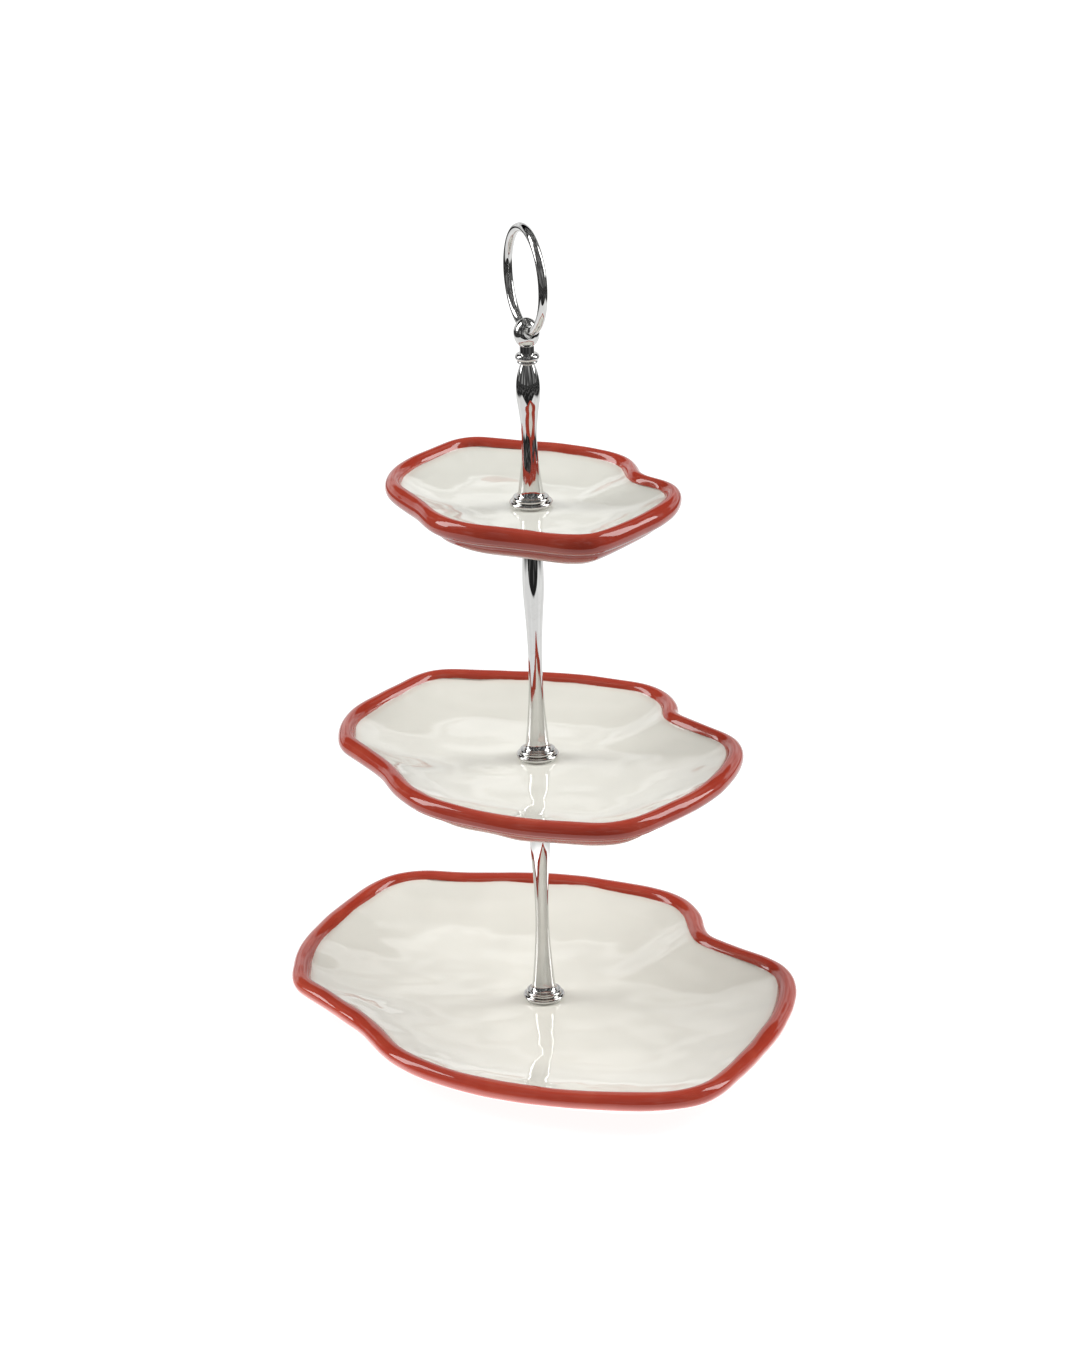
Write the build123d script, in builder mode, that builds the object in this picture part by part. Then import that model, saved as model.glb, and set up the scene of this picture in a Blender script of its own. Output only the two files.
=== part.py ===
"""Three-tier cake stand: glazed stoneware plates on a chromed baluster rod with a carry ring.

Millimetres, +Z up. The origin is on the rod's axis at the surface that the stand rests on.
"""

import os
from math import cos, hypot, radians, sin

from build123d import *

# ---------------------------------------------------------------- driving dimensions

# Plates. Span is twice the longest reach from the rod's axis to the rim bead's centreline.
BOTTOM_SPAN = 288.0
MIDDLE_SPAN = 221.0
TOP_SPAN = 157.0
BOTTOM_FLOOR = 4.7  # thickness of the clay under the seat washers
MIDDLE_FLOOR = 5.4
TOP_FLOOR = 4.4
BOTTOM_BEAD_WIDTH = 9.6  # the rim's bead is an oval, as wide as this
MIDDLE_BEAD_WIDTH = 8.6
TOP_BEAD_WIDTH = 7.8
BOTTOM_BEAD_HEIGHT = 9.0
MIDDLE_BEAD_HEIGHT = 9.2
TOP_BEAD_HEIGHT = 10.0
BOTTOM_RIM_RISE = 12.4  # from the floor's top up to the rim's crest
MIDDLE_RIM_RISE = 11.9
TOP_RIM_RISE = 11.5
BOTTOM_DISH_REACH = 56.0  # from the bead's centreline in to the flat middle of the floor
MIDDLE_DISH_REACH = 42.0
TOP_DISH_REACH = 31.0
BOTTOM_DISH_EDGE = 165  # degrees round the bead, from outside, at which the dish meets it
MIDDLE_DISH_EDGE = 165
TOP_DISH_EDGE = 165
BOTTOM_FOOT_INSET = 24.0  # from the bead's centreline in to the foot's edge
MIDDLE_FOOT_INSET = 18.0
TOP_FOOT_INSET = 9.5
MIDDLE_FOOT_RECESS = 2.0  # hollow inside the foot ring
TOP_FOOT_RECESS = 2.0
FOOT_RING_WIDTH = 7.0
FOOT_BEVEL = 0.8
BEAD_UNDERSIDE = -108  # degrees on the bead at which the outer wall meets it
BEAD_CREST = 90
BEAD_OUTSIDE_STEP = 18  # degrees between the levels up the bead's outside
BEAD_INSIDE_STEP = 15  # degrees between the levels up its inside
DISH_POWER = 1.9  # how late the dish's curve rises from the flat middle
DISH_LEVELS = 6

# Rod: two like columns and a shorter handle column.
COLUMN_LENGTH = 118.1
COLUMN_FOOT_D = 12.2
COLUMN_NECK_D = 6.7
COLUMN_BULB_D = 10.4
COLUMN_END_D = 8.2
COLUMN_NECK_HEIGHT = 43.0
COLUMN_BULB_HEIGHT = 87.0
COLUMN_FLARE_D = 8.85  # part-way down from the neck to the foot
COLUMN_FLARE_HEIGHT = 16.0
COLUMN_SWELL_D = 8.45  # part-way up from the neck to the bulb
COLUMN_SWELL_HEIGHT = 68.0
HANDLE_LENGTH = 65.5
HANDLE_FOOT_D = 12.5
HANDLE_NECK_D = 7.2
HANDLE_BULB_D = 11.6
HANDLE_END_D = 6.2
HANDLE_NECK_HEIGHT = 28.5
HANDLE_BULB_HEIGHT = 52.0
HANDLE_FLARE_D = 9.05
HANDLE_FLARE_HEIGHT = 14.25
HANDLE_SWELL_D = 9.4
HANDLE_SWELL_HEIGHT = 42.25

# Stepped flange at the foot of each column.
STEP_D = 17.5
STEP_THICKNESS = 2.0
STEP_EDGE_ROUND = 0.8
FOOT_BEAD_D = 13.6  # small bead where the shaft leaves the step
FOOT_BEAD_HEIGHT = 0.9
SEAT_D = 20.5
SEAT_THICKNESS = 2.1
SEAT_EDGE_ROUND = 0.9

# Washers at each plate.
PAD_LEDGE = 1.05  # by which a seat washer overhangs the pad below it
UPPER_PAD_THICKNESS = 0.6
LOWER_PAD_THICKNESS = 1.0
BASE_PAD_THICKNESS = 0.6
SUPPORT_D = 16.0
SUPPORT_THICKNESS = 1.2
BASE_WASHER_THICKNESS = 0.8

# Screw and studs.
THREAD_D = 5.0
BORE_CLEARANCE = 0.15  # all round, between a thread's envelope and what it passes through
PLATE_HOLE_CLEARANCE = 1.0  # all round, between the thread and the fired clay
THREAD_REACH = 12.0  # how far a screw or a stud runs up into the column above it
STUD_HOLD = 10.0  # how far a stud runs down into the column below it
BORE_SPARE = 2.0  # depth of a bore beyond the thread's end
THREAD_CHAMFER = 0.5
SCREW_HEAD_D = 11.0
SCREW_HEAD_HEIGHT = 2.0
SCREW_SLOT_WIDTH = 1.4
SCREW_SLOT_DEPTH = 1.0
SCREW_HEAD_LIFT = 0.4  # keeps the screw's head clear of the table

# Finial and ring.
FINIAL_WASHER_D = 9.7
FINIAL_WASHER_THICKNESS = 1.2
COLLAR_D = 11.5
COLLAR_HEIGHT = 3.4
FINIAL_NECK_D = 6.9
FINIAL_NECK_HEIGHT = 2.4
BALL_D = 12.3
BALL_HEIGHT = 14.6
SPIGOT_D = 3.2
SPIGOT_LENGTH = 8.0
RING_D = 52.5
RING_WIRE_D = 4.3
RING_EYE_CLEARANCE = 0.15  # between the eye and the curved wire as it turns
EYE_RISE = 1.6  # from the ball's middle up to the eye's axis
RING_BEARING = -70.7  # degrees from +X to the vertical plane that the ring stands in

# Outlines of the plates as (bearing in degrees from +X, reach as a share of half the span).
# The shape is a pair of lips: two corners, a deep notch behind and a gentle one in front.
BOTTOM_OUTLINE = [
    (-180, 0.813), (-166, 0.706), (-152, 0.671), (-136, 0.705), (-118, 0.742), (-100, 0.781),
    (-86, 0.834), (-73, 0.900), (-64, 0.957), (-58, 0.968), (-50, 0.932), (-36, 0.878),
    (-20, 0.851), (-4, 0.838), (4, 0.801), (12, 0.717), (20, 0.661), (27, 0.640),
    (34, 0.663), (42, 0.722), (52, 0.776), (66, 0.787), (82, 0.806), (98, 0.847),
    (110, 0.909), (118, 0.985), (124, 1.000), (132, 0.968), (144, 0.921), (158, 0.890),
    (170, 0.860),
]
MIDDLE_OUTLINE = [
    (-180, 0.810), (-168, 0.732), (-156, 0.706), (-142, 0.741), (-126, 0.796), (-110, 0.832),
    (-96, 0.878), (-82, 0.948), (-74, 0.995), (-67, 1.000), (-58, 0.964), (-42, 0.926),
    (-26, 0.899), (-12, 0.875), (-3, 0.824), (5, 0.731), (13, 0.669), (20, 0.646),
    (28, 0.677), (38, 0.726), (50, 0.741), (64, 0.719), (80, 0.722), (96, 0.755),
    (108, 0.815), (116, 0.888), (122, 0.916), (130, 0.897), (142, 0.878), (156, 0.880),
    (169, 0.862),
]
TOP_OUTLINE = [
    (-180, 0.786), (-168, 0.731), (-156, 0.711), (-142, 0.740), (-128, 0.772), (-112, 0.795),
    (-98, 0.818), (-86, 0.884), (-77, 0.963), (-70, 1.001), (-62, 0.971), (-46, 0.904),
    (-30, 0.888), (-18, 0.885), (-8, 0.852), (0, 0.771), (8, 0.683), (15, 0.662),
    (24, 0.686), (36, 0.728), (50, 0.738), (64, 0.741), (78, 0.756), (92, 0.806),
    (103, 0.893), (111, 0.973), (117, 0.985), (126, 0.942), (140, 0.910), (156, 0.888),
    (169, 0.846),
]

# ---------------------------------------------------------------- levels up the rod

PAD_D = SEAT_D - 2 * PAD_LEDGE
# The bottom plate's hollow hides the pad, the washer and the screw's head.
BOTTOM_FOOT_RECESS = (
    BASE_PAD_THICKNESS + BASE_WASHER_THICKNESS + SCREW_HEAD_HEIGHT + SCREW_HEAD_LIFT
)
BOTTOM_FLOOR_TOP = BOTTOM_FOOT_RECESS + BOTTOM_FLOOR
STACK_ON_PLATE = UPPER_PAD_THICKNESS + SEAT_THICKNESS
STACK_UNDER_PLATE = LOWER_PAD_THICKNESS + SUPPORT_THICKNESS

LOWER_STEP_Z = BOTTOM_FLOOR_TOP + STACK_ON_PLATE
LOWER_END_Z = LOWER_STEP_Z + STEP_THICKNESS + COLUMN_LENGTH
MIDDLE_FLOOR_TOP = LOWER_END_Z + STACK_UNDER_PLATE + MIDDLE_FLOOR
MIDDLE_STEP_Z = MIDDLE_FLOOR_TOP + STACK_ON_PLATE
MIDDLE_END_Z = MIDDLE_STEP_Z + STEP_THICKNESS + COLUMN_LENGTH
TOP_FLOOR_TOP = MIDDLE_END_Z + STACK_UNDER_PLATE + TOP_FLOOR
HANDLE_STEP_Z = TOP_FLOOR_TOP + STACK_ON_PLATE
HANDLE_END_Z = HANDLE_STEP_Z + STEP_THICKNESS + HANDLE_LENGTH
COLLAR_Z = HANDLE_END_Z + FINIAL_WASHER_THICKNESS
NECK_Z = COLLAR_Z + COLLAR_HEIGHT
BALL_Z = NECK_Z + FINIAL_NECK_HEIGHT + BALL_HEIGHT / 2
EYE_Z = BALL_Z + EYE_RISE

BORE_R = THREAD_D / 2 + BORE_CLEARANCE
PLATE_HOLE_R = THREAD_D / 2 + PLATE_HOLE_CLEARANCE
RING_R = (RING_D - RING_WIRE_D) / 2
# The wire rises above its lowest point inside the eye, so the eye is wider by that much.
EYE_WIRE_RISE = RING_R - (RING_R**2 - (BALL_D / 2) ** 2) ** 0.5
EYE_R = RING_WIRE_D / 2 + EYE_WIRE_RISE + RING_EYE_CLEARANCE

os.makedirs("parts", exist_ok=True)


def write(part, node):
    """Label a finished solid and write it as one STEP file."""
    part.label = node
    export_step(part, f"parts/{node}.step")


# ---------------------------------------------------------------- plates


def outline_points(outline, span):
    """Return the bead centreline's points in plan."""
    half = span / 2
    return [(half * r * cos(radians(b)), half * r * sin(radians(b))) for b, r in outline]


def shifted(points, across, inward):
    """Return the points moved out square to the line, then in towards the rod's axis."""
    moved = []
    count = len(points)
    for i, (x, y) in enumerate(points):
        before, after = points[i - 1], points[(i + 1) % count]
        run_x, run_y = after[0] - before[0], after[1] - before[1]
        run = hypot(run_x, run_y)
        x, y = x + across * run_y / run, y - across * run_x / run
        keep = 1 - inward / hypot(x, y)
        moved.append((x * keep, y * keep))
    return moved


def slice_of(points, height, across, inward):
    """Return the face of one level of a plate, bounded by a closed spline."""
    with BuildSketch(Plane.XY.offset(height)) as level:
        with BuildLine():
            Spline(*shifted(points, across, inward), periodic=True)
        make_face()
    return level.sketch.face()


def bead_level(half_width, half_height, centre_z, degrees):
    """Return the level of a point on the bead, from 0 outside over 90 on its crest to 180."""
    return centre_z + half_height * sin(radians(degrees)), half_width * cos(radians(degrees)), 0


def dish_level(low_z, edge, reach, share):
    """Return the level of a point on the dish, a share of the way from the floor to the bead."""
    edge_z, edge_across, _ = edge
    return low_z + (edge_z - low_z) * share**DISH_POWER, 0, reach - (reach + edge_across) * share


def make_plate(node, outline, span, floor_top, floor, bead, rim_rise, dish, foot_inset, recess):
    """Build one dished plate with a rounded rim, a foot ring and a hole for the rod."""
    points = outline_points(outline, span)
    half_width, half_height = bead[0] / 2, bead[1] / 2
    reach, dish_edge = dish
    bead_z = floor_top + rim_rise - half_height
    foot_z = floor_top - floor - recess

    outside = [(foot_z, 0, foot_inset), (foot_z + FOOT_BEVEL, 0, foot_inset - FOOT_BEVEL)]
    for degrees in range(BEAD_UNDERSIDE, BEAD_CREST + 1, BEAD_OUTSIDE_STEP):
        outside.append(bead_level(half_width, half_height, bead_z, degrees))
    rim = []
    for degrees in range(dish_edge, BEAD_CREST, -BEAD_INSIDE_STEP):
        rim.append(bead_level(half_width, half_height, bead_z, degrees))
    inside = []
    for n in range(DISH_LEVELS):
        inside.append(dish_level(floor_top, rim[0], reach, n / DISH_LEVELS))
    inside += rim
    inside.append((rim[-1][0] + half_height, rim[-1][1], 0))

    with BuildPart() as plate:
        loft([slice_of(points, *level) for level in outside], ruled=True)
        loft([slice_of(points, *level) for level in inside], ruled=True, mode=Mode.SUBTRACT)
        hollow = slice_of(points, foot_z, 0, foot_inset + FOOT_RING_WIDTH)
        extrude(hollow, amount=recess, mode=Mode.SUBTRACT)
        with BuildSketch(Plane.XY.offset(foot_z)):
            Circle(PLATE_HOLE_R)
        extrude(amount=floor_top - foot_z, mode=Mode.SUBTRACT)
    write(plate.part, node)


make_plate(
    "bottom_plate", BOTTOM_OUTLINE, BOTTOM_SPAN, BOTTOM_FLOOR_TOP, BOTTOM_FLOOR,
    (BOTTOM_BEAD_WIDTH, BOTTOM_BEAD_HEIGHT), BOTTOM_RIM_RISE,
    (BOTTOM_DISH_REACH, BOTTOM_DISH_EDGE), BOTTOM_FOOT_INSET, BOTTOM_FOOT_RECESS,
)
make_plate(
    "middle_plate", MIDDLE_OUTLINE, MIDDLE_SPAN, MIDDLE_FLOOR_TOP, MIDDLE_FLOOR,
    (MIDDLE_BEAD_WIDTH, MIDDLE_BEAD_HEIGHT), MIDDLE_RIM_RISE,
    (MIDDLE_DISH_REACH, MIDDLE_DISH_EDGE), MIDDLE_FOOT_INSET, MIDDLE_FOOT_RECESS,
)
make_plate(
    "top_plate", TOP_OUTLINE, TOP_SPAN, TOP_FLOOR_TOP, TOP_FLOOR,
    (TOP_BEAD_WIDTH, TOP_BEAD_HEIGHT), TOP_RIM_RISE,
    (TOP_DISH_REACH, TOP_DISH_EDGE), TOP_FOOT_INSET, TOP_FOOT_RECESS,
)


# ---------------------------------------------------------------- rod hardware


def ring_washer(node, base_z, outer_d, thickness, edge_round=0.0):
    """Build one washer that the thread passes through."""
    with BuildPart() as washer:
        with BuildSketch(Plane.XY.offset(base_z)):
            Circle(outer_d / 2)
            Circle(BORE_R, mode=Mode.SUBTRACT)
        extrude(amount=thickness)
        if edge_round:
            rims = washer.edges().filter_by(GeomType.CIRCLE).group_by(SortBy.RADIUS)[-1]
            fillet(rims, edge_round)
    write(washer.part, node)


def turned_column(node, step_z, profile, bore_depth, top_bore_r, top_bore_depth):
    """Build one turned column with its step, a bore in its foot and a bore in its end."""
    shaft_z = step_z + STEP_THICKNESS
    points = [(d / 2, shaft_z + height) for d, height in profile]
    end_z = points[-1][1]
    with BuildPart() as column:
        with BuildSketch(Plane.XZ):
            with BuildLine():
                Polyline((0, end_z), (0, step_z), (STEP_D / 2, step_z))
                Line((STEP_D / 2, step_z), (STEP_D / 2, shaft_z))
                Line((STEP_D / 2, shaft_z), points[0])
                Spline(*points)
                Line(points[-1], (0, end_z))
            make_face()
        revolve(axis=Axis.Z)
        with BuildSketch(Plane.XY.offset(shaft_z)):
            Circle(FOOT_BEAD_D / 2)
        extrude(amount=FOOT_BEAD_HEIGHT)
        bead_rim = column.edges().filter_by(GeomType.CIRCLE)
        bead_rim = bead_rim.filter_by_position(
            Axis.Z, shaft_z + FOOT_BEAD_HEIGHT / 2, shaft_z + FOOT_BEAD_HEIGHT
        )
        fillet(bead_rim.sort_by(SortBy.RADIUS)[-1], FOOT_BEAD_HEIGHT / 2)
        step_rims = column.edges().filter_by(GeomType.CIRCLE).group_by(SortBy.RADIUS)[-1]
        fillet(step_rims.sort_by(Axis.Z)[-1], STEP_EDGE_ROUND)
        with BuildSketch(Plane.XY.offset(step_z)):
            Circle(BORE_R)
        extrude(amount=bore_depth, mode=Mode.SUBTRACT)
        with BuildSketch(Plane.XY.offset(end_z)):
            Circle(top_bore_r)
        extrude(amount=-top_bore_depth, mode=Mode.SUBTRACT)
    write(column.part, node)


def plain_stud(node, base_z, length):
    """Build one stud, as the envelope of its thread, with chamfered ends."""
    with BuildPart() as stud:
        with BuildSketch(Plane.XY.offset(base_z)):
            Circle(THREAD_D / 2)
        extrude(amount=length)
        chamfer(stud.edges().filter_by(GeomType.CIRCLE), THREAD_CHAMFER)
    write(stud.part, node)


COLUMN_PROFILE = [
    (COLUMN_FOOT_D, 0),
    (COLUMN_FLARE_D, COLUMN_FLARE_HEIGHT),
    (COLUMN_NECK_D, COLUMN_NECK_HEIGHT),
    (COLUMN_SWELL_D, COLUMN_SWELL_HEIGHT),
    (COLUMN_BULB_D, COLUMN_BULB_HEIGHT),
    (COLUMN_END_D, COLUMN_LENGTH),
]
HANDLE_PROFILE = [
    (HANDLE_FOOT_D, 0),
    (HANDLE_FLARE_D, HANDLE_FLARE_HEIGHT),
    (HANDLE_NECK_D, HANDLE_NECK_HEIGHT),
    (HANDLE_SWELL_D, HANDLE_SWELL_HEIGHT),
    (HANDLE_BULB_D, HANDLE_BULB_HEIGHT),
    (HANDLE_END_D, HANDLE_LENGTH),
]

for tier, step_z in (("lower", LOWER_STEP_Z), ("middle", MIDDLE_STEP_Z)):
    turned_column(
        f"{tier}_column", step_z, COLUMN_PROFILE, THREAD_REACH + BORE_SPARE, BORE_R,
        STUD_HOLD + BORE_SPARE,
    )
turned_column(
    "handle_column", HANDLE_STEP_Z, HANDLE_PROFILE, THREAD_REACH + BORE_SPARE,
    SPIGOT_D / 2 + BORE_CLEARANCE, SPIGOT_LENGTH + BORE_SPARE / 2,
)

for tier, floor_top in (
    ("bottom", BOTTOM_FLOOR_TOP),
    ("middle", MIDDLE_FLOOR_TOP),
    ("top", TOP_FLOOR_TOP),
):
    ring_washer(f"{tier}_upper_pad", floor_top, PAD_D, UPPER_PAD_THICKNESS)
    ring_washer(
        f"{tier}_seat_washer", floor_top + UPPER_PAD_THICKNESS, SEAT_D, SEAT_THICKNESS,
        SEAT_EDGE_ROUND,
    )

for tier, underside in (
    ("middle", MIDDLE_FLOOR_TOP - MIDDLE_FLOOR),
    ("top", TOP_FLOOR_TOP - TOP_FLOOR),
):
    ring_washer(f"{tier}_lower_pad", underside - LOWER_PAD_THICKNESS, PAD_D, LOWER_PAD_THICKNESS)
    ring_washer(
        f"{tier}_support_washer", underside - STACK_UNDER_PLATE, SUPPORT_D, SUPPORT_THICKNESS
    )

base_pad_z = BOTTOM_FOOT_RECESS - BASE_PAD_THICKNESS
base_washer_z = base_pad_z - BASE_WASHER_THICKNESS
ring_washer("bottom_lower_pad", base_pad_z, PAD_D, BASE_PAD_THICKNESS)
ring_washer("bottom_support_washer", base_washer_z, SUPPORT_D, BASE_WASHER_THICKNESS)

plain_stud(
    "lower_stud", LOWER_END_Z - STUD_HOLD, MIDDLE_STEP_Z + THREAD_REACH - LOWER_END_Z + STUD_HOLD
)
plain_stud(
    "upper_stud", MIDDLE_END_Z - STUD_HOLD, HANDLE_STEP_Z + THREAD_REACH - MIDDLE_END_Z + STUD_HOLD
)

head_z = base_washer_z - SCREW_HEAD_HEIGHT
with BuildPart() as base_screw:
    with BuildSketch(Plane.XY.offset(head_z)):
        Circle(SCREW_HEAD_D / 2)
    extrude(amount=SCREW_HEAD_HEIGHT)
    fillet(base_screw.edges().sort_by(Axis.Z)[0], SCREW_HEAD_HEIGHT / 2)
    with BuildSketch(Plane.XY.offset(base_washer_z)):
        Circle(THREAD_D / 2)
    extrude(amount=LOWER_STEP_Z + THREAD_REACH - base_washer_z)
    chamfer(base_screw.edges().sort_by(Axis.Z)[-1], THREAD_CHAMFER)
    with BuildSketch(Plane.XY.offset(head_z)):
        Rectangle(SCREW_HEAD_D, SCREW_SLOT_WIDTH)
    extrude(amount=SCREW_SLOT_DEPTH, mode=Mode.SUBTRACT)
write(base_screw.part, "base_screw")


# ---------------------------------------------------------------- finial and ring

with BuildPart() as finial_washer:
    with BuildSketch(Plane.XY.offset(HANDLE_END_Z)):
        Circle(FINIAL_WASHER_D / 2)
        Circle(SPIGOT_D / 2 + BORE_CLEARANCE, mode=Mode.SUBTRACT)
    extrude(amount=FINIAL_WASHER_THICKNESS)
    rims = finial_washer.edges().filter_by(GeomType.CIRCLE).group_by(SortBy.RADIUS)[-1]
    fillet(rims, FINIAL_WASHER_THICKNESS / 3)
write(finial_washer.part, "finial_washer")

ring_along = Vector(cos(radians(RING_BEARING)), sin(radians(RING_BEARING)), 0)
ring_centre = Vector(0, 0, EYE_Z + RING_R)
ring_normal = ring_along.cross(Vector(0, 0, 1))

collar_flat_r = COLLAR_D / 2 - COLLAR_HEIGHT / 2

with BuildPart() as eye_finial:
    with BuildSketch(Plane.XZ):
        with BuildLine():
            Line((0, COLLAR_Z), (collar_flat_r, COLLAR_Z))
            ThreePointArc(
                (collar_flat_r, COLLAR_Z),
                (COLLAR_D / 2, COLLAR_Z + COLLAR_HEIGHT / 2),
                (collar_flat_r, NECK_Z),
            )
            Polyline(
                (collar_flat_r, NECK_Z), (FINIAL_NECK_D / 2, NECK_Z),
                (FINIAL_NECK_D / 2, BALL_Z), (0, BALL_Z), (0, COLLAR_Z),
            )
        make_face()
    revolve(axis=Axis.Z)
    with BuildSketch(Plane.XZ):
        with BuildLine():
            EllipticalCenterArc(
                (0, BALL_Z), BALL_D / 2, BALL_HEIGHT / 2, start_angle=-90, arc_size=180
            )
            Line((0, BALL_Z + BALL_HEIGHT / 2), (0, BALL_Z - BALL_HEIGHT / 2))
        make_face()
    revolve(axis=Axis.Z)
    with BuildSketch(Plane.XY.offset(COLLAR_Z)):
        Circle(SPIGOT_D / 2)
    extrude(amount=-FINIAL_WASHER_THICKNESS - SPIGOT_LENGTH)
    with BuildSketch(Plane(origin=(0, 0, EYE_Z), z_dir=ring_along)):
        Circle(EYE_R)
    extrude(amount=BALL_D, both=True, mode=Mode.SUBTRACT)
write(eye_finial.part, "eye_finial")

with BuildPart() as carry_ring:
    with BuildSketch(Plane(origin=ring_centre, x_dir=ring_along, z_dir=(0, 0, 1))):
        with Locations((RING_R, 0)):
            Circle(RING_WIRE_D / 2)
    revolve(axis=Axis(ring_centre, ring_normal))
write(carry_ring.part, "carry_ring")
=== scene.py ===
"""Looks for a three-tier cake stand: hand-glazed plates, a turned chrome rod and a carry ring.

Every length is in metres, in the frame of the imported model: the rod's axis is Z and the table
is at zero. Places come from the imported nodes' boxes, so each piece sits where its node does.
"""

import logging
import math
from dataclasses import dataclass, field
from enum import Enum

import bpy
import numpy as np
from mathutils import Matrix, Vector, noise
from mathutils.bvhtree import BVHTree

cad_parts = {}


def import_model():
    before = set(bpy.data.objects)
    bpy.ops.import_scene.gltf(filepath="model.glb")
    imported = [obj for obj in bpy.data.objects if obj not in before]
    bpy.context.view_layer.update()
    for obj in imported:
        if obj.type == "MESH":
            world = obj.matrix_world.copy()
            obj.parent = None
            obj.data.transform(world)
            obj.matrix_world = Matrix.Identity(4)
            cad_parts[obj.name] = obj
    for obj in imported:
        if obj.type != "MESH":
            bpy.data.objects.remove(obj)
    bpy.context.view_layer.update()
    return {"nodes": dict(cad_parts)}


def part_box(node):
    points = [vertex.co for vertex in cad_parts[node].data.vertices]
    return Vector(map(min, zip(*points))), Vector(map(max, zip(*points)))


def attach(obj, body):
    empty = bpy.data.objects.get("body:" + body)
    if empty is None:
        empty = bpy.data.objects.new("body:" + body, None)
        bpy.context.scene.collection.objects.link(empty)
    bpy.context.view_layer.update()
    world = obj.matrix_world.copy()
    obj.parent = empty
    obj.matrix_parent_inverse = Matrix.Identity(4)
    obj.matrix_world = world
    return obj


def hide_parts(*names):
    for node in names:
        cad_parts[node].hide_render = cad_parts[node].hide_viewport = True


log = logging.getLogger("cake_stand")

MM = 0.001
ROD_BODY = "rod"
RING_BODY = "ring"


class Tier(Enum):
    """The three plates, by the word that starts the names of their nodes."""

    BOTTOM = "bottom"
    MIDDLE = "middle"
    TOP = "top"


# ---------------------------------------------------------------- meshes


def mesh_piece(name: str, points: np.ndarray, faces: list[tuple[int, ...]]) -> bpy.types.Object:
    """Make a smooth-shaded mesh object.

    Args:
        name: The piece's name.
        points: Corner positions, one row each.
        faces: Corner numbers of each face.

    Returns:
        The new object, linked to the scene.
    """
    mesh = bpy.data.meshes.new(name)
    mesh.from_pydata([tuple(p) for p in points], [], faces)
    mesh.validate()
    mesh.shade_smooth()
    piece = bpy.data.objects.new(name, mesh)
    bpy.context.scene.collection.objects.link(piece)
    return piece


def grid_faces(rows: int, columns: int, wrap_rows: bool) -> list[tuple[int, ...]]:
    """List the quads of a grid whose columns close on themselves.

    Args:
        rows: Number of rows of points.
        columns: Number of points in each row.
        wrap_rows: Whether the last row joins the first.

    Returns:
        The quads, each with its corners in order.
    """
    quads = []
    for i in range(rows if wrap_rows else rows - 1):
        low, high = i * columns, ((i + 1) % rows) * columns
        for j in range(columns):
            k = (j + 1) % columns
            quads.append((low + j, low + k, high + k, high + j))
    return quads


def lathe(
    name: str, profile: list[tuple[float, float]], segments: int, hollow: bool = False
) -> bpy.types.Object:
    """Turn a profile about the rod's axis.

    Args:
        name: The piece's name.
        profile: (radius, height) pairs, from the lower end to the upper end of a solid piece,
            or once round the section of a hollow one.
        segments: Number of steps round the axis.
        hollow: Whether the profile closes on itself, which leaves a hole in the middle.

    Returns:
        The turned piece.
    """
    turns = [2 * math.pi * k / segments for k in range(segments)]
    points = [(r * math.cos(a), r * math.sin(a), z) for r, z in profile for a in turns]
    faces = grid_faces(len(profile), segments, hollow)
    if not hollow:
        last = (len(profile) - 1) * segments
        faces.append(tuple(reversed(range(segments))))
        faces.append(tuple(last + k for k in range(segments)))
    return mesh_piece(name, np.array(points), faces)


def arc(
    centre: tuple[float, float], radius: float, start: float, end: float, steps: int
) -> list[tuple[float, float]]:
    """Return points on an arc of a profile.

    Args:
        centre: (radius, height) of the arc's centre.
        radius: The arc's own radius.
        start: First angle in degrees, from outwards, up being 90.
        end: Last angle in degrees.
        steps: Number of steps between them.

    Returns:
        The points, both ends included.
    """
    angles = [math.radians(start + (end - start) * k / steps) for k in range(steps + 1)]
    return [(centre[0] + radius * math.cos(a), centre[1] + radius * math.sin(a)) for a in angles]


def swelling(
    stations: list[tuple[float, float, float]], steps: int
) -> list[tuple[float, float]]:
    """Run a smooth curve through a turned shaft's stations.

    Args:
        stations: (height, diameter, slope of the diameter) up the shaft.
        steps: Number of steps between two stations.

    Returns:
        (radius, height) pairs.
    """
    out = []
    for (z0, d0, s0), (z1, d1, s1) in zip(stations, stations[1:]):
        span = z1 - z0
        for k in range(steps):
            t = k / steps
            rise = t * t * (3 - 2 * t)
            ease_in, ease_out = t * (1 - t) ** 2, -t * t * (1 - t)
            diameter = d0 + (d1 - d0) * rise + span * (s0 * ease_in + s1 * ease_out)
            out.append((diameter / 2, z0 + span * t))
    out.append((stations[-1][1] / 2, stations[-1][0]))
    return out


# ---------------------------------------------------------------- node trees


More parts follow.
